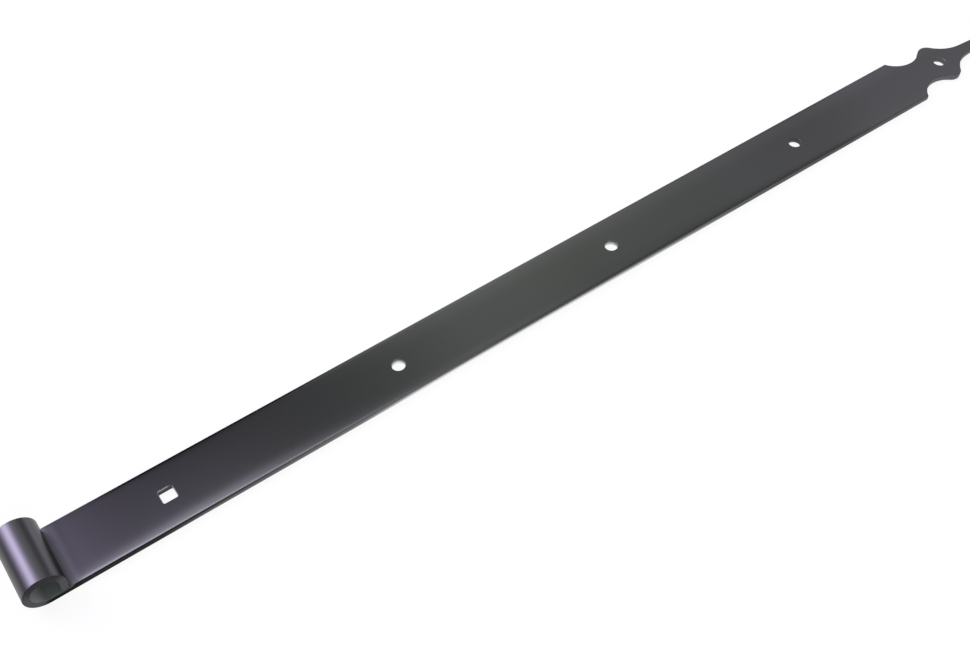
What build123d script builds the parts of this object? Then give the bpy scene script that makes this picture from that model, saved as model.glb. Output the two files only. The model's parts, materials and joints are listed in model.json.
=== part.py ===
from build123d import *
import math
import os

os.makedirs("parts", exist_ok=True)

# The pin axis is the row's Y axis, the band runs to +X and lies on its back below the axis.

# Flat bar
band_width = 40.0
band_thickness = 4.0
edge_round = 0.5

# Rolled eye
pin_bore = 15.0
curl_straight_from = 8.0  # degrees below the pin axis where the curl's end runs straight
curl_end_gap = 0.3

# Holes along the band, each from the one before, the first from the pin axis
pin_to_square = 74.0
square_to_round = 144.0
round_spacing = 155.0
round_count = 3
round_to_tip_hole = 139.0
square_hole = 8.5
square_corner = 1.0
round_hole = 8.2
hole_rim_chamfer = 0.3

# Finial
scallop_radius = 18.5
scallop_depth = 9.2  # below the band's edge
lobe_radius = 7.3
lobe_inset = 2.8  # the lobe's crest below the band's edge
flank_radius = 26.0
neck_width = 8.6
tip_hole_to_nose = 51.5
nose_radius = 2.5

# Derived
half_width = band_width / 2
bore_radius = pin_bore / 2
eye_radius = bore_radius + band_thickness
band_top = -bore_radius
band_back = -eye_radius
square_x = pin_to_square
round_xs = [square_x + square_to_round + i * round_spacing for i in range(round_count)]
tip_hole_x = round_xs[-1] + round_to_tip_hole
nose_x = tip_hole_x + tip_hole_to_nose


def polar(centre, radius, degrees):
    a = math.radians(degrees)
    return (centre[0] + radius * math.cos(a), centre[1] + radius * math.sin(a))


def heading(a, b):
    return math.degrees(math.atan2(b[1] - a[1], b[0] - a[0]))


def turn(start, end, clockwise):
    size = (end - start) % 360
    return size - 360 if clockwise else size


def run_down(leave, down):
    """Where a straight run from the curl stops, just above the band."""
    run = (band_top + curl_end_gap - leave[1]) / down[1]
    return (leave[0] + run * down[0], leave[1] + run * down[1])


def rolled_strip():
    """Side section of the bar with its end curled round the pin, extruded across the width."""
    curl_end = -curl_straight_from
    down = (math.sin(math.radians(curl_end)), -math.cos(math.radians(curl_end)))
    outer_leave = polar((0, 0), eye_radius, curl_end)
    inner_leave = polar((0, 0), bore_radius, curl_end)
    outer_tip, inner_tip = run_down(outer_leave, down), run_down(inner_leave, down)
    with BuildPart() as strip:
        with BuildSketch(Plane.XZ):
            with BuildLine():
                Line((nose_x, band_back), (0, band_back))
                CenterArc((0, 0), eye_radius, -90, turn(-90, curl_end, True))
                Polyline(outer_leave, outer_tip, inner_tip, inner_leave)
                CenterArc((0, 0), bore_radius, -90, turn(-90, curl_end, True))
                Line((0, band_top), (nose_x, band_top))
                Line((nose_x, band_top), (nose_x, band_back))
            make_face()
        extrude(amount=half_width, both=True)
    return strip.part


def plan_outline():
    """Plan view of the band: straight edges, a scallop, a round lobe and a slender tip each side."""
    lobe = (tip_hole_x, half_width - lobe_inset - lobe_radius)
    scallop_y = half_width - scallop_depth + scallop_radius
    reach = scallop_radius + lobe_radius
    scallop = (lobe[0] - math.sqrt(reach**2 - (scallop_y - lobe[1]) ** 2), scallop_y)
    shoulder = (scallop[0] - math.sqrt(scallop_radius**2 - (scallop_y - half_width) ** 2), half_width)
    flank_y = neck_width / 2 + flank_radius
    reach = flank_radius + lobe_radius
    flank = (lobe[0] + math.sqrt(reach**2 - (flank_y - lobe[1]) ** 2), flank_y)
    nose = (nose_x - nose_radius, 0)
    # the taper line touches the flank arc from below and the nose from above
    span = math.dist(flank, nose)
    lean = heading(nose, flank) - math.degrees(math.acos((flank_radius + nose_radius) / span))
    scallop_end = heading(scallop, lobe)
    lobe_end = heading(lobe, flank)
    back = -2 * eye_radius
    with BuildSketch() as outline:
        with BuildLine():
            Polyline((back, 0), (back, half_width), shoulder)
            start = heading(scallop, shoulder)
            CenterArc(scallop, scallop_radius, start, turn(start, scallop_end, False))
            start = heading(lobe, scallop)
            CenterArc(lobe, lobe_radius, start, turn(start, lobe_end, True))
            start = heading(flank, lobe)
            CenterArc(flank, flank_radius, start, turn(start, lean + 180, False))
            Line(polar(flank, flank_radius, lean + 180), polar(nose, nose_radius, lean))
            CenterArc(nose, nose_radius, lean, turn(lean, 0, True))
            Line((nose_x, 0), (back, 0))
        make_face()
        mirror(about=Plane.XZ)
    return outline.sketch


def holes():
    """Square hole for a coach bolt near the eye, then round screw holes."""
    middle = (band_top + band_back) / 2
    depth = 2 * band_thickness
    square = extrude(RectangleRounded(square_hole, square_hole, square_corner), depth / 2, both=True)
    square = Pos(square_x, 0, middle) * square
    rounds = [Pos(x, 0, middle) * Cylinder(round_hole / 2, depth) for x in round_xs + [tip_hole_x]]
    return [square] + rounds


def build_band():
    blank = rolled_strip()
    prism = Pos(0, 0, -2 * eye_radius) * extrude(plan_outline(), amount=4 * eye_radius)
    band = blank & prism
    upright = band.edges().filter_by(Axis.Z)
    across = band.edges().filter_by(Axis.Y)
    rims = [e for e in band.edges() if e not in upright and e not in across]
    band = fillet(rims, edge_round)
    before = band.edges()
    for hole in holes():
        band -= hole
    near = []
    for x in [square_x] + round_xs + [tip_hole_x]:
        for e in band.edges():
            c = e.center()
            if abs(c.X - x) < square_hole and abs(c.Y) < square_hole and e not in before:
                if abs(c.Z - band_top) < 1e-4 or abs(c.Z - band_back) < 1e-4:
                    near.append(e)
    return chamfer(near, hole_rim_chamfer)


band = build_band()
export_step(band, "parts/band.step")
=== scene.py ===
import bpy
import json
import math
from mathutils import Matrix, Vector


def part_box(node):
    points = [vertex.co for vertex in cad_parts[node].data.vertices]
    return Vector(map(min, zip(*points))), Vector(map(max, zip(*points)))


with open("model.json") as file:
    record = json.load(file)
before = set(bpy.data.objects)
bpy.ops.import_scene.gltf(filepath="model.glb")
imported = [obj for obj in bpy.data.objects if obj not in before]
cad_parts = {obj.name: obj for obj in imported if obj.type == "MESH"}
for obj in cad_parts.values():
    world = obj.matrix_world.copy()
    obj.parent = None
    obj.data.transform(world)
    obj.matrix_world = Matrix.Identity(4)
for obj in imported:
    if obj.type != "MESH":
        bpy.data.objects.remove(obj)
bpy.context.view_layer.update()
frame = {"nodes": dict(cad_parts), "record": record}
band = frame["nodes"]["band"]
bandLow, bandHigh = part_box("band")
print("band loaded with", len(band.data.polygons), "faces")

# the pin axis is the origin, the band lies on its back at the lowest z
halfWidth = bandHigh.y
eyeRadius = bandHigh.z
boreRadius = {m["name"]: m for m in frame["record"]["mounts"]}["pin_bore"]["dims"]["r_mm"] / 1000


# small helpers for node trees

def addNode(tree, kind, place, **values):
    # values named after a socket set that socket, the others set the node itself
    node = tree.nodes.new(kind)
    node.location = place
    for name, value in values.items():
        socket = node.inputs.get(name.replace("_", " "))
        if socket is not None:
            socket.default_value = value
        else:
            setattr(node, name, value)
    return node


def addMath(tree, operation, place, first, second=None, third=None):
    node = addNode(tree, "ShaderNodeMath", place, operation=operation)
    for socket, value in zip(node.inputs, (first, second, third)):
        if value is None:
            continue
        if isinstance(value, (int, float)):
            socket.default_value = value
        else:
            tree.links.new(value, socket)
    return node.outputs[0]


def addRamp(tree, place, value, low, high, toLow=0.0, toHigh=1.0, smooth=True):
    # a smooth step of value between low and high
    node = addNode(tree, "ShaderNodeMapRange", place)
    node.interpolation_type = "SMOOTHSTEP" if smooth else "LINEAR"
    for name, number in (("From Min", low), ("From Max", high), ("To Min", toLow), ("To Max", toHigh)):
        if isinstance(number, (int, float)):
            node.inputs[name].default_value = number
        else:
            tree.links.new(number, node.inputs[name])
    tree.links.new(value, node.inputs["Value"])
    return node.outputs["Result"]


def addLevels(tree, place, share, rows):
    # levels between 0 and 1 set out by distance from the pin axis, up to three for each distance
    ramp = addNode(tree, "ShaderNodeValToRGB", place)
    stops = ramp.color_ramp.elements
    while len(stops) < len(rows):
        stops.new(0.5)
    for stop, (distance, *levels) in zip(stops, rows):
        stop.position = (distance - bandLow.x) / (bandHigh.x - bandLow.x)
        stop.color = (*levels, *[0.0] * (3 - len(levels)), 1.0)
    tree.links.new(share, ramp.inputs["Fac"])
    apart = addNode(tree, "ShaderNodeSeparateColor", (place[0] + 300, place[1]))
    tree.links.new(ramp.outputs["Color"], apart.inputs[0])
    return apart.outputs


def mixColours(tree, place, share, first, second):
    node = addNode(tree, "ShaderNodeMix", place, data_type="RGBA")
    tree.links.new(share, node.inputs[0])
    for socket, colour in ((node.inputs[6], first), (node.inputs[7], second)):
        if isinstance(colour, tuple):
            socket.default_value = colour
        else:
            tree.links.new(colour, socket)
    return node.outputs[2]


def newGroup(name, inputs, outputs):
    group = bpy.data.node_groups.new(name, "ShaderNodeTree")
    for label, kind, default in inputs:
        socket = group.interface.new_socket(name=label, in_out="INPUT", socket_type=kind)
        socket.default_value = default
    for label, kind in outputs:
        group.interface.new_socket(name=label, in_out="OUTPUT", socket_type=kind)
    source = addNode(group, "NodeGroupInput", (-900, 0))
    result = addNode(group, "NodeGroupOutput", (900, 0))
    return group, source.outputs, result.inputs


def useGroup(tree, group, place, **values):
    node = tree.nodes.new("ShaderNodeGroup")
    node.node_tree = group
    node.location = place
    node.label = group.name
    for name, value in values.items():
        node.inputs[name.replace("_", " ")].default_value = value
    return node


# surface effects, shared by the coating and the floor

def makeFineGrain():
    # small bumps, from soft ripples down to specks
    group, source, result = newGroup(
        "fineGrain",
        [("Ripple Size", "NodeSocketFloat", 0.004), ("Speck Size", "NodeSocketFloat", 0.0006),
         ("Speck Share", "NodeSocketFloat", 0.3)],
        [("Height", "NodeSocketFloat"), ("Specks", "NodeSocketFloat")])
    place = addNode(group, "ShaderNodeTexCoord", (-900, 300)).outputs["Object"]
    ripple = addNode(group, "ShaderNodeTexNoise", (-300, 200), Detail=2.0, Roughness=0.5)
    speck = addNode(group, "ShaderNodeTexNoise", (-300, -150), Detail=3.0, Roughness=0.6)
    group.links.new(place, ripple.inputs["Vector"])
    group.links.new(place, speck.inputs["Vector"])
    group.links.new(addMath(group, "DIVIDE", (-600, 100), 1.0, source["Ripple Size"]), ripple.inputs["Scale"])
    group.links.new(addMath(group, "DIVIDE", (-600, -250), 1.0, source["Speck Size"]), speck.inputs["Scale"])
    specks = addMath(group, "SUBTRACT", (0, -150), speck.outputs["Fac"], 0.5)
    share = addMath(group, "MULTIPLY", (200, -150), specks, source["Speck Share"])
    height = addMath(group, "ADD", (400, 100), ripple.outputs["Fac"], share)
    group.links.new(height, result["Height"])
    group.links.new(specks, result["Specks"])
    return group


def makeCloudiness():
    # slow drift of tone, stretched along the length as rolled stock has it
    group, source, result = newGroup(
        "cloudiness",
        [("Length", "NodeSocketFloat", 0.2), ("Width", "NodeSocketFloat", 0.03), ("Strength", "NodeSocketFloat", 0.2)],
        [("Drift", "NodeSocketFloat")])
    place = addNode(group, "ShaderNodeTexCoord", (-900, 300)).outputs["Object"]
    apart = addNode(group, "ShaderNodeSeparateXYZ", (-700, 300))
    group.links.new(place, apart.inputs[0])
    along = addMath(group, "DIVIDE", (-500, 350), apart.outputs["X"], source["Length"])
    across = addMath(group, "DIVIDE", (-500, 200), apart.outputs["Y"], source["Width"])
    upward = addMath(group, "DIVIDE", (-500, 50), apart.outputs["Z"], source["Width"])
    joined = addNode(group, "ShaderNodeCombineXYZ", (-300, 200))
    for number, socket in zip((along, across, upward), joined.inputs):
        group.links.new(number, socket)
    cloud = addNode(group, "ShaderNodeTexNoise", (-100, 200), Scale=1.0, Detail=3.0, Roughness=0.55)
    group.links.new(joined.outputs[0], cloud.inputs["Vector"])
    centred = addMath(group, "SUBTRACT", (150, 200), cloud.outputs["Fac"], 0.5)
    group.links.new(addMath(group, "MULTIPLY", (350, 200), centred, source["Strength"]), result["Drift"])
    return group


def makeEdgeWear():
    # 1 on outside edges, where a coat is thin and rubbed, broken up by noise
    group, source, result = newGroup(
        "edgeWear",
        [("Sharpness", "NodeSocketFloat", 6.0), ("Breakup Size", "NodeSocketFloat", 0.003)],
        [("Edge", "NodeSocketFloat"), ("Worn", "NodeSocketFloat")])
    corner = addNode(group, "ShaderNodeBevel", (-700, 200), samples=8, Radius=0.0009)
    flat = addNode(group, "ShaderNodeNewGeometry", (-700, -50))
    match = addNode(group, "ShaderNodeVectorMath", (-450, 100), operation="DOT_PRODUCT")
    group.links.new(corner.outputs[0], match.inputs[0])
    group.links.new(flat.outputs["Normal"], match.inputs[1])
    away = addMath(group, "SUBTRACT", (-250, 100), 1.0, match.outputs["Value"])
    edge = addNode(group, "ShaderNodeMath", (0, 100), operation="MULTIPLY", use_clamp=True)
    group.links.new(away, edge.inputs[0])
    group.links.new(source["Sharpness"], edge.inputs[1])
    place = addNode(group, "ShaderNodeTexCoord", (-900, -300)).outputs["Object"]
    noise = addNode(group, "ShaderNodeTexNoise", (-250, -250), Detail=4.0, Roughness=0.65)
    group.links.new(place, noise.inputs["Vector"])
    group.links.new(addMath(group, "DIVIDE", (-450, -350), 1.0, source["Breakup Size"]), noise.inputs["Scale"])
    patches = addRamp(group, (0, -250), noise.outputs["Fac"], 0.48, 0.68)
    group.links.new(edge.outputs[0], result["Edge"])
    group.links.new(addMath(group, "MULTIPLY", (250, 0), edge.outputs[0], patches), result["Worn"])
    return group


def makeRollOff():
    # the flat bar's faces fall off close to its two edges, more so on the near one
    group, source, result = newGroup(
        "rollOff",
        [("Half Width", "NodeSocketFloat", 0.02), ("Near Drop", "NodeSocketFloat", 0.0006),
         ("Near Steepness", "NodeSocketFloat", 8.0), ("Far Drop", "NodeSocketFloat", 0.0002),
         ("Far Steepness", "NodeSocketFloat", 16.0)],
        [("Height", "NodeSocketFloat")])
    place = addNode(group, "ShaderNodeTexCoord", (-900, 300)).outputs["Object"]
    apart = addNode(group, "ShaderNodeSeparateXYZ", (-700, 300))
    group.links.new(place, apart.inputs[0])
    share = addMath(group, "DIVIDE", (-500, 200), apart.outputs["Y"], source["Half Width"])
    falls = []
    for row, side in enumerate(("Near", "Far")):
        y = 200 - 300 * row
        inward = addMath(group, "MAXIMUM", (-300, y), addMath(group, "MULTIPLY", (-400, y), share, 2 * row - 1), 0.0)
        curve = addMath(group, "POWER", (-100, y), inward, source[side + " Steepness"])
        falls.append(addMath(group, "MULTIPLY", (100, y), curve, source[side + " Drop"]))
    fall = addMath(group, "ADD", (300, 200), *falls)
    group.links.new(addMath(group, "MULTIPLY", (500, 200), fall, -1.0), result["Height"])
    return group


fineGrain = makeFineGrain()
cloudiness = makeCloudiness()
edgeWear = makeEdgeWear()
rollOff = makeRollOff()
print("surface groups ready")

# the band: a thin black coat on steel, duller on the rolled eye, with painted reflection and painted shade on its cut
# faces

coating = {
    "coat": (0.116, 0.112, 0.109, 1.0),
    "coatDrift": (0.106, 0.111, 0.109, 1.0),
    "eyeCoat": (0.115, 0.113, 0.116, 1.0),
    "farHalfTone": (0.136, 0.136, 0.135, 1.0),
    # painted shade: a dark line along the far edge
    "farEdgeShade": (0.022, 0.022, 0.022, 1.0),
    "rubbedEdge": (0.150, 0.148, 0.152, 1.0),
    "shadedTowardsTip": 0.08,  # share of a cut face's level where it looks towards the tip: painted shade on the faces turned away from the light
    "roughness": 0.16,
    "eyeRoughness": 0.36,
    "cutRoughness": 0.50,
    "cloudRoughness": 0.05,
    "speckRoughness": 0.05,
    "edgeRoughness": 0.15,
    "cloudLength": 0.16,
    "cloudWidth": 0.035,
    "cloudStrength": 0.9,
    "wearSharpness": 5.0,
    "wearBreakup": 0.004,
    "rippleSize": 0.0035,
    "speckSize": 0.0005,
    "speckShare": 0.35,
    "bumpHeight": 0.000003,
    "nearDrop": 0.0005,
    "nearSteepness": 7.0,
    "farDrop": 0.0003,
    "farSteepness": 22.0,
    "dropAtTip": 0.15,  # share of the drop that is left there
    "farDropLost": 0.7,  # share of the far drop that is lost past the eye
}

# where each change of the coat starts and ends, in metres
marks = {
    "eyeEnd": (eyeRadius, eyeRadius * 1.2),
    "dullEnd": (eyeRadius * 1.1, eyeRadius * 1.7),
    "eyeCoatEnd": (0.03, 0.10),
    "farHalfToneStart": (0.14, 0.24),
    "farHalfToneAcross": (0.006, halfWidth),
    "farEdgeShadeStart": (0.03, 0.06),
    "farEdgeShadeEnd": (0.15, 0.19),
    "farEdgeShadeAcross": (0.018, 0.019),
    "cutReflectionRise": (bandLow.z + 0.0007, bandLow.z + 0.0035),
    "farDropEnd": (0.17, 0.25),
    "farHalf": (0.0, 0.01),
    "tipStart": (0.55, 0.61),
}

# how far a face has to turn to count as one of these, by one part of its normal
turned = {
    "endFace": (0.35, 0.65),
    "upright": (0.75, 0.95),
    "flat": (0.80, 0.98),
    "shadedTowardsTip": (0.5, 0.8),
    "towardsEye": (-0.9, -0.5),
}

# how full the coat's tone is, by distance from the pin axis: painted shade in the dip just beside the eye, and painted
# light and shade in the rises and falls along the band
coatLightAndShade = ((0.0, 0.85), (0.0115, 0.85), (0.013, 0.50), (0.0155, 0.57), (0.018, 0.73), (0.021, 0.86), (0.05, 0.76),
            (0.20, 0.81), (0.26, 0.90), (0.35, 0.76), (0.48, 0.97), (0.55, 0.88), (0.60, 0.98), (0.70, 0.92))

# painted reflection and shade on the cut faces: how bright they are at their top and their bottom, by distance from
# the pin axis
cutFaceLight = ((0.0, 0.010, 0.010), (0.06, 0.010, 0.018), (0.09, 0.024, 0.17), (0.13, 0.08, 0.17), (0.18, 0.12, 0.24),
            (0.22, 0.12, 0.75), (0.25, 0.13, 0.92), (0.31, 0.13, 0.90), (0.35, 0.11, 0.75), (0.41, 0.10, 0.45),
            (0.46, 0.10, 0.14), (0.50, 0.08, 0.11), (0.56, 0.06, 0.08), (0.62, 0.09, 0.11), (0.66, 0.13, 0.15),
            (0.70, 0.09, 0.10))

# painted highlight along the square hole's upper rim and painted reflection on its wall away from the eye
squareHoleLight = {
    "middle": 0.074,
    "border": (0.0055, 0.00605),
    "wall": 0.06,
    "rimHighlight": 0.27,
    "farWallReflection": 0.42,
    "rimHeight": (-0.0086, -0.0081),
    "rimEnd": (0.075, 0.0775),
}

# the eye's two end faces, with painted light and shade: lighter low down, darker towards the top and painted shade
# darkest below the bore
eyeEnds = {
    "low": (0.105, 0.110, 0.110, 1.0),
    "high": (0.046, 0.044, 0.048, 1.0),
    "underBoreShade": (0.006, 0.007, 0.006, 1.0),
    "rise": (-0.004, 0.004),
    "riseLean": -0.5,
    "underStart": (-0.005, 0.0),
    "underHeight": (-0.0090, -0.0076),
}

# the rough inside of the eye, greenish grey, with painted light on its left and painted shade to its right
bore = {
    "left": (0.33, 0.34, 0.335, 1.0),
    "right": (0.112, 0.128, 0.120, 1.0),
    "lightTurn": (-0.0065, -0.0005),
    "roughness": 0.6,
    "wall": (boreRadius * 1.01, boreRadius * 1.03),
    "stripWall": (0.008134, 0.0083),
    "lowerHalf": (-boreRadius * 0.1, 0.0),
    "stripHalf": (0.0, boreRadius * 0.1),
}


def findMasks(tree, x, z, facing):
    # from 0 to 1: on the rolled eye, inside its bore, on a cut face, on one of the two flats
    onEye = addRamp(tree, (-750, 900), x, *marks["eyeEnd"], 1.0, 0.0)
    offEye = addMath(tree, "SUBTRACT", (-550, 900), 1.0, onEye)
    squares = [addMath(tree, "MULTIPLY", (-750, 1100 + 150 * row), run, run) for row, run in enumerate((x, z))]
    radius = addMath(tree, "SQRT", (-400, 1100), addMath(tree, "ADD", (-550, 1100), *squares))
    inBore = addRamp(tree, (-200, 1100), radius, *bore["wall"], 1.0, 0.0)

    # the strip's end runs straight down, so the bore is wider in its lower quarter on that side
    runs = [addMath(tree, "ABSOLUTE", (-550, 1400 + 150 * row), run) for row, run in enumerate((x, z))]
    reach = addRamp(tree, (-200, 1400), addMath(tree, "MAXIMUM", (-400, 1400), *runs), *bore["stripWall"], 1.0, 0.0)
    lower = addRamp(tree, (-200, 1600), z, *bore["lowerHalf"], 1.0, 0.0)
    ahead = addRamp(tree, (-200, 1800), x, *bore["stripHalf"])
    quarter = addMath(tree, "MULTIPLY", (0, 1400), reach, addMath(tree, "MULTIPLY", (-50, 1600), lower, ahead))
    inBore = addMath(tree, "MAXIMUM", (100, 1200), inBore, quarter)

    sideways = addMath(tree, "ABSOLUTE", (-850, -100), facing["Y"])
    upwards = addMath(tree, "ABSOLUTE", (-850, -1150), facing["Z"])
    endFace = addRamp(tree, (-750, -100), sideways, *turned["endFace"])
    upright = addRamp(tree, (-750, -1150), upwards, *turned["upright"], 1.0, 0.0)
    flat = addRamp(tree, (-750, -1000), upwards, *turned["flat"])
    inBore = addMath(tree, "MULTIPLY", (200, 1200), inBore, addMath(tree, "SUBTRACT", (100, 1050), 1.0, endFace))
    cut = addMath(tree, "MAXIMUM", (-250, -1150), addMath(tree, "MULTIPLY", (-400, -1150), upright, offEye), endFace)
    onFlat = addMath(tree, "MULTIPLY", (-400, -1000), flat, offEye)
    return onEye, inBore, cut, onFlat


def toneCoat(tree, x, y, along, drift):
    # cloudy, with its own colour by the eye, lighter on the far half, with painted shade along the far edge, and
    # scaled by painted light and shade along the band
    cloudy = addMath(tree, "ADD", (-400, 400), drift, 0.5)
    tint = mixColours(tree, (-200, 400), cloudy, coating["coat"], coating["coatDrift"])
    byEye = addRamp(tree, (-400, 950), x, *marks["eyeCoatEnd"], 1.0, 0.0)
    tint = mixColours(tree, (-150, 600), byEye, tint, coating["eyeCoat"])
    lighterFar = addMath(tree, "MULTIPLY", (-200, 650), addRamp(tree, (-400, 650), y, *marks["farHalfToneAcross"]),
                   addRamp(tree, (-400, 800), x, *marks["farHalfToneStart"]))
    tint = mixColours(tree, (-100, 500), lighterFar, tint, coating["farHalfTone"])
    # painted shade: a dark line along the far edge, from a little past the eye to mid band
    edge = addMath(tree, "MULTIPLY", (-400, 1100), addRamp(tree, (-600, 1100), y, *marks["farEdgeShadeAcross"]),
                   addRamp(tree, (-600, 1250), x, *marks["farEdgeShadeStart"]))
    edge = addMath(tree, "MULTIPLY", (-200, 1100), edge,
                   addRamp(tree, (-400, 1250), x, *marks["farEdgeShadeEnd"], 1.0, 0.0))
    tint = mixColours(tree, (-50, 600), edge, tint, coating["farEdgeShade"])
    # scaled by the painted light and shade along the band
    toned = addNode(tree, "ShaderNodeVectorMath", (0, 600), operation="SCALE")
    tree.links.new(tint, toned.inputs[0])
    tree.links.new(addLevels(tree, (-550, 900), along, coatLightAndShade)["Red"], toned.inputs["Scale"])
    return toned.outputs[0]


def toneSquareHole(tree, x, y, z, facing, others):
    # a level for the hole's own faces in place of the level of the others: a painted highlight on the upper rim and a
    # painted reflection on the far wall
    run = addMath(tree, "ABSOLUTE", (-950, 1700), addMath(tree, "SUBTRACT", (-1100, 1700), x, squareHoleLight["middle"]))
    run = addMath(tree, "MAXIMUM", (-800, 1700), run, addMath(tree, "ABSOLUTE", (-950, 1850), y))
    inHole = addRamp(tree, (-600, 1700), run, *squareHoleLight["border"], 1.0, 0.0)
    rimHighlight = addRamp(tree, (-800, 2000), x, *squareHoleLight["rimEnd"], squareHoleLight["rimHighlight"], squareHoleLight["wall"])
    wall = addRamp(tree, (-600, 2000), z, *squareHoleLight["rimHeight"], squareHoleLight["wall"], rimHighlight)
    farWallReflection = addRamp(tree, (-600, 2200), facing["X"], *turned["towardsEye"], squareHoleLight["farWallReflection"], 0.0)
    level = addMath(tree, "MAXIMUM", (-400, 2000), wall, farWallReflection)
    return mixColours(tree, (-150, 350), inHole, others, level)


def toneEyeEnds(tree, x, z):
    # the painted change from light low down to dark high up leans outwards, so it follows the ring on both sides
    outward = addMath(tree, "ABSOLUTE", (-700, 250), x)
    height = addMath(tree, "MULTIPLY_ADD", (-550, 250), outward, eyeEnds["riseLean"], z)
    rise = addRamp(tree, (-400, 250), height, *eyeEnds["rise"])
    ends = mixColours(tree, (-200, 250), rise, eyeEnds["low"], eyeEnds["high"])
    underBoreShade = addMath(tree, "MULTIPLY", (-200, 100), addRamp(tree, (-400, 100), x, *eyeEnds["underStart"]),
                    addRamp(tree, (-400, -50), z, *eyeEnds["underHeight"], 1.0, 0.0))
    return mixColours(tree, (-150, 150), underBoreShade, ends, eyeEnds["underBoreShade"])


def paintCutFaceLight(tree, x, y, z, facing, along, onEye):
    # painted reflection and shade on the cut faces, lighter at the bottom where they face the floor and dark by the
    # eye
    levels = addLevels(tree, (-550, 600), along, cutFaceLight)
    level = addNode(tree, "ShaderNodeMix", (-200, 700))
    tree.links.new(addRamp(tree, (-400, 550), z, *marks["cutReflectionRise"]), level.inputs[0])
    tree.links.new(levels["Green"], level.inputs[2])
    tree.links.new(levels["Red"], level.inputs[3])
    # painted shade on the cut faces that look towards the tip
    share = addRamp(tree, (-400, 2300), facing["X"], *turned["shadedTowardsTip"], 1.0, coating["shadedTowardsTip"])
    level = addMath(tree, "MULTIPLY", (-250, 2300), level.outputs[0], share)
    tone = toneSquareHole(tree, x, y, z, facing, level)
    return mixColours(tree, (-100, 250), onEye, tone, toneEyeEnds(tree, x, z))


def setGloss(tree, x, drift, specks, edge, cut, inBore):
    # cloudy, duller by the eye, on specks, rubbed edges and cut faces, and dullest in the bore
    byEye = addRamp(tree, (-200, -50), x, *marks["dullEnd"], 1.0, 0.0)
    gloss = coating["roughness"]
    shares = ((drift, coating["cloudRoughness"]), (byEye, coating["eyeRoughness"] - coating["roughness"]),
              (specks, coating["speckRoughness"]), (edge, coating["edgeRoughness"]),
              (cut, coating["cutRoughness"] - coating["roughness"]),
              (inBore, bore["roughness"] - coating["eyeRoughness"]))
    for column, (mask, step) in enumerate(shares):
        gloss = addMath(tree, "MULTIPLY_ADD", (-200 + 150 * column, 100), mask, step, gloss)
    return gloss


def setBumps(tree, x, y, onFlat, grainHeight):
    # the bar's rolled-off edges on its two flats only, then the coat's own ripple
    rolled = useGroup(tree, rollOff, (-1000, -750), Half_Width=halfWidth, Near_Drop=coating["nearDrop"],
                      Near_Steepness=coating["nearSteepness"], Far_Drop=coating["farDrop"],
                      Far_Steepness=coating["farSteepness"])
    atTip = addRamp(tree, (-400, -850), x, *marks["tipStart"], 1.0, coating["dropAtTip"])
    lost = addMath(tree, "MULTIPLY", (-200, -950), addRamp(tree, (-400, -950), x, *marks["farDropEnd"]),
                   addRamp(tree, (-400, -1050), y, *marks["farHalf"], 0.0, coating["farDropLost"]))
    kept = addMath(tree, "MULTIPLY", (0, -850), atTip, addMath(tree, "SUBTRACT", (-50, -950), 1.0, lost))
    shape = addNode(tree, "ShaderNodeBump", (300, -600), Distance=1.0)
    tree.links.new(rolled.outputs["Height"], shape.inputs["Height"])
    tree.links.new(addMath(tree, "MULTIPLY", (150, -800), onFlat, kept), shape.inputs["Strength"])
    ripple = addNode(tree, "ShaderNodeBump", (600, -400), Distance=coating["bumpHeight"])
    tree.links.new(grainHeight, ripple.inputs["Height"])
    tree.links.new(shape.outputs[0], ripple.inputs["Normal"])
    return ripple.outputs[0]


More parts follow.
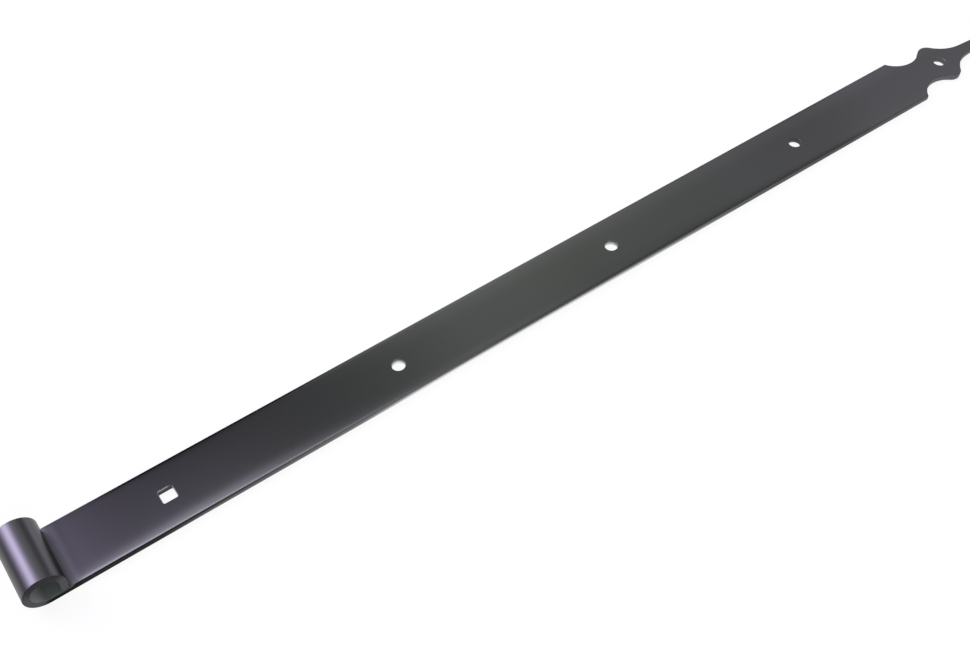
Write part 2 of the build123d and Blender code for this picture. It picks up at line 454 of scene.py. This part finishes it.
def makeCoating():
    material = bpy.data.materials.new("blackCoating")
    material.use_nodes = True
    tree = material.node_tree
    tree.nodes.clear()
    link = tree.links.new
    output = addNode(tree, "ShaderNodeOutputMaterial", (1200, 0))
    shader = addNode(tree, "ShaderNodeBsdfPrincipled", (900, 0))
    link(shader.outputs[0], output.inputs["Surface"])

    place = addNode(tree, "ShaderNodeTexCoord", (-1200, 300)).outputs["Object"]
    apart = addNode(tree, "ShaderNodeSeparateXYZ", (-1000, 300))
    link(place, apart.inputs[0])
    x, y, z = (apart.outputs[name] for name in "XYZ")
    side = addNode(tree, "ShaderNodeNewGeometry", (-1200, -1000))
    facing = addNode(tree, "ShaderNodeSeparateXYZ", (-1000, -1000))
    link(side.outputs["True Normal"], facing.inputs[0])
    drift = useGroup(tree, cloudiness, (-1000, 0), Length=coating["cloudLength"], Width=coating["cloudWidth"],
                     Strength=coating["cloudStrength"]).outputs["Drift"]
    grain = useGroup(tree, fineGrain, (-1000, -500), Ripple_Size=coating["rippleSize"],
                     Speck_Size=coating["speckSize"], Speck_Share=coating["speckShare"])
    edges = useGroup(tree, edgeWear, (-1000, -250), Sharpness=coating["wearSharpness"],
                     Breakup_Size=coating["wearBreakup"])
    onEye, inBore, cut, onFlat = findMasks(tree, x, z, facing.outputs)

    # the colour: coat, cut faces with painted reflection and shade over it, grey where edges are rubbed, and greenish
    # grey in the bore with painted light and shade
    along = addRamp(tree, (-750, 600), x, bandLow.x, bandHigh.x, smooth=False)
    tone = mixColours(tree, (0, 400), cut, toneCoat(tree, x, y, along, drift),
                      paintCutFaceLight(tree, x, y, z, facing.outputs, along, onEye))
    tone = mixColours(tree, (200, 400), edges.outputs["Worn"], tone, coating["rubbedEdge"])
    boreLight = mixColours(tree, (200, 700), addRamp(tree, (0, 800), x, *bore["lightTurn"]), bore["left"], bore["right"])
    link(mixColours(tree, (400, 400), inBore, tone, boreLight), shader.inputs["Base Color"])
    link(addMath(tree, "SUBTRACT", (600, 600), 1.0, inBore), shader.inputs["Metallic"])
    link(setGloss(tree, x, drift, grain.outputs["Specks"], edges.outputs["Edge"], cut, inBore),
         shader.inputs["Roughness"])
    link(setBumps(tree, x, y, onFlat, grain.outputs["Height"]), shader.inputs["Normal"])
    return material


blackCoating = makeCoating()
for slot in band.material_slots:
    slot.material = blackCoating
print("coating on", len(band.material_slots), "slot of the band")

# floor: a pale sheet that runs out to the horizon and keeps a soft shadow under the band

floor = {
    "size": 6.0,
    "gap": 0.0002,
    "colour": (0.86, 0.86, 0.87, 1.0),
    "roughness": 0.75,
    "whiteShare": 0.90,
    "cloudSize": 0.6,
    "cloudStrength": 0.03,
    "rippleSize": 0.006,
    "speckSize": 0.001,
    "speckShare": 0.5,
    "bumpHeight": 0.00002,
}


def makeFloor():
    half = floor["size"] / 2
    mesh = bpy.data.meshes.new("floor")
    corners = [(-half, -half), (half, -half), (half, half), (-half, half)]
    mesh.from_pydata([(x, y, bandLow.z - floor["gap"]) for x, y in corners], [], [(0, 1, 2, 3)])
    sheet = bpy.data.objects.new("floor", mesh)
    bpy.context.scene.collection.objects.link(sheet)
    material = bpy.data.materials.new("paleFloor")
    material.use_nodes = True
    tree = material.node_tree
    link = tree.links.new
    shader = tree.nodes["Principled BSDF"]
    output = tree.nodes["Material Output"]
    drift = useGroup(tree, cloudiness, (-900, 200), Length=floor["cloudSize"], Width=floor["cloudSize"],
                     Strength=floor["cloudStrength"]).outputs["Drift"]
    grain = useGroup(tree, fineGrain, (-900, -200), Ripple_Size=floor["rippleSize"], Speck_Size=floor["speckSize"],
                     Speck_Share=floor["speckShare"])
    shade = addNode(tree, "ShaderNodeMix", (-500, 200), data_type="RGBA", blend_type="ADD")
    shade.inputs[0].default_value = 1.0
    shade.inputs[6].default_value = floor["colour"]
    link(drift, shade.inputs[7])
    link(shade.outputs[2], shader.inputs["Base Color"])
    shader.inputs["Roughness"].default_value = floor["roughness"]
    bump = addNode(tree, "ShaderNodeBump", (-300, -200), Distance=floor["bumpHeight"])
    link(grain.outputs["Height"], bump.inputs["Height"])
    link(bump.outputs[0], shader.inputs["Normal"])
    white = addNode(tree, "ShaderNodeEmission", (0, -300), Strength=1.0)
    path = addNode(tree, "ShaderNodeLightPath", (-500, 500))
    seen = addMath(tree, "MAXIMUM", (-300, 500), path.outputs["Is Camera Ray"], path.outputs["Is Glossy Ray"])
    seen = addMath(tree, "MAXIMUM", (-150, 500), seen, path.outputs["Is Transmission Ray"])
    share = addMath(tree, "MULTIPLY", (0, 400), seen, floor["whiteShare"])
    blend = addNode(tree, "ShaderNodeMixShader", (300, 0))
    link(share, blend.inputs[0])
    link(shader.outputs[0], blend.inputs[1])
    link(white.outputs[0], blend.inputs[2])
    link(blend.outputs[0], output.inputs["Surface"])
    output.location = (600, 0)
    mesh.materials.append(material)


makeFloor()
print("floor laid at", round(bandLow.z, 4))

# light: a dim room with soft lights set into it; azimuth runs from +Y towards +X, both angles in degrees

room = {
    "front": (0.025, 0.025, 0.024),
    "rear": (0.50, 0.50, 0.51),
    "rearFrom": (85.0, 110.0),
}

softLights = {
    "crown": {"azimuth": -32, "elevation": 43, "width": 18, "height": 22, "radiance": (10.87, 9.86, 14.02)},
    "overhead": {"azimuth": 18, "elevation": 79, "width": 66, "height": 7, "radiance": (7.91, 7.67, 9.08)},
    "upper": {"azimuth": 10, "elevation": 65, "width": 11, "height": 6, "radiance": (2.35, 2.25, 2.79)},
    "right": {"azimuth": 29, "elevation": 44, "width": 16, "height": 6, "radiance": (1.34, 1.38, 1.33)},
    "farRight": {"azimuth": 45, "elevation": 58, "width": 20, "height": 10, "radiance": (0.90, 0.98, 0.95)},
    "low": {"azimuth": 55, "elevation": 8, "width": 10, "height": 7, "radiance": (2.60, 2.54, 3.05)},
    "tip": {"azimuth": 69, "elevation": 39, "width": 19, "height": 9, "radiance": (0.99, 0.96, 1.09)},
    "behind": {"azimuth": -175, "elevation": 35, "width": 20, "height": 14, "radiance": (4.0, 3.8, 4.4)},
    "side": {"azimuth": 95, "elevation": 12, "width": 28, "height": 13, "radiance": (0.85, 0.85, 0.92)},
}


def makeRoom():
    world = bpy.data.worlds.new("softRoom")
    world.use_nodes = True
    tree = world.node_tree
    back = tree.nodes["Background"]
    place = addNode(tree, "ShaderNodeTexCoord", (-1500, 0)).outputs["Generated"]
    apart = addNode(tree, "ShaderNodeSeparateXYZ", (-1300, 0))
    tree.links.new(place, apart.inputs[0])
    turn = addMath(tree, "DEGREES", (-900, 200),
                   addMath(tree, "ARCTAN2", (-1100, 200), apart.outputs["X"], apart.outputs["Y"]))
    height = addMath(tree, "DEGREES", (-900, -100), addMath(tree, "ARCSINE", (-1100, -100), apart.outputs["Z"]))
    fromFront = addRamp(tree, (-700, 500), addMath(tree, "ABSOLUTE", (-900, 500), turn), *room["rearFrom"])
    total = mixColours(tree, (-500, 500), fromFront, (*room["front"], 1.0), (*room["rear"], 1.0))
    for row, light in enumerate(softLights.values()):
        y = -300 * row
        # the turn is taken the short way round, so a light behind the camera has no seam
        away = addMath(tree, "WRAP", (-600, y), addMath(tree, "SUBTRACT", (-700, y), turn, light["azimuth"]),
                       180.0, -180.0)
        away = addMath(tree, "DIVIDE", (-500, y), away, light["width"])
        above = addMath(tree, "SUBTRACT", (-600, y - 120), height, light["elevation"])
        above = addMath(tree, "DIVIDE", (-500, y - 120), above, light["height"])
        spread = addMath(tree, "MULTIPLY_ADD", (-300, y), above, above,
                         addMath(tree, "MULTIPLY", (-400, y), away, away))
        glow = addMath(tree, "EXPONENT", (-100, y), addMath(tree, "MULTIPLY", (-200, y), spread, -1.0))
        lit = mixColours(tree, (100, y), glow, (0.0, 0.0, 0.0, 1.0), (*light["radiance"], 1.0))
        joined = addNode(tree, "ShaderNodeMix", (300, y), data_type="RGBA", blend_type="ADD")
        joined.inputs[0].default_value = 1.0
        tree.links.new(total, joined.inputs[6])
        tree.links.new(lit, joined.inputs[7])
        total = joined.outputs[2]
    seen = addNode(tree, "ShaderNodeLightPath", (300, 300)).outputs["Is Camera Ray"]
    back.location = (800, 0)
    tree.nodes["World Output"].location = (1000, 0)
    tree.links.new(mixColours(tree, (600, 0), seen, total, (1.0, 1.0, 1.0, 1.0)), back.inputs["Color"])
    bpy.context.scene.world = world


makeRoom()
print("lights:", ", ".join(softLights))

# camera: where the photograph was taken from

view = {
    "place": (0.0334, -0.3587, 0.5384),
    "azimuth": -34.303,
    "elevation": 51.853,
    "roll": -1.185,
    "focalPixels": 1191.7,
    "pictureWidth": 970,
    "sensor": 36.0,
    "clipStart": 0.01,
}


def makeCamera():
    data = bpy.data.cameras.new("camera")
    data.sensor_width = view["sensor"]
    data.lens = view["focalPixels"] / view["pictureWidth"] * view["sensor"]
    data.clip_start = view["clipStart"]
    camera = bpy.data.objects.new("camera", data)
    azimuth, elevation, roll = (math.radians(view[k]) for k in ("azimuth", "elevation", "roll"))
    back = Vector((math.sin(azimuth) * math.cos(elevation),
                   -math.cos(azimuth) * math.cos(elevation), math.sin(elevation)))
    right = (-back).cross(Vector((0, 0, 1))).normalized()
    up = back.cross(right)
    rolledRight = math.cos(roll) * right + math.sin(roll) * up
    rolledUp = math.cos(roll) * up - math.sin(roll) * right
    turned = Matrix((rolledRight, rolledUp, back)).transposed().to_4x4()
    camera.matrix_world = Matrix.Translation(view["place"]) @ turned
    bpy.context.scene.collection.objects.link(camera)
    bpy.context.scene.camera = camera


makeCamera()
bpy.context.scene.view_settings.view_transform = "Standard"
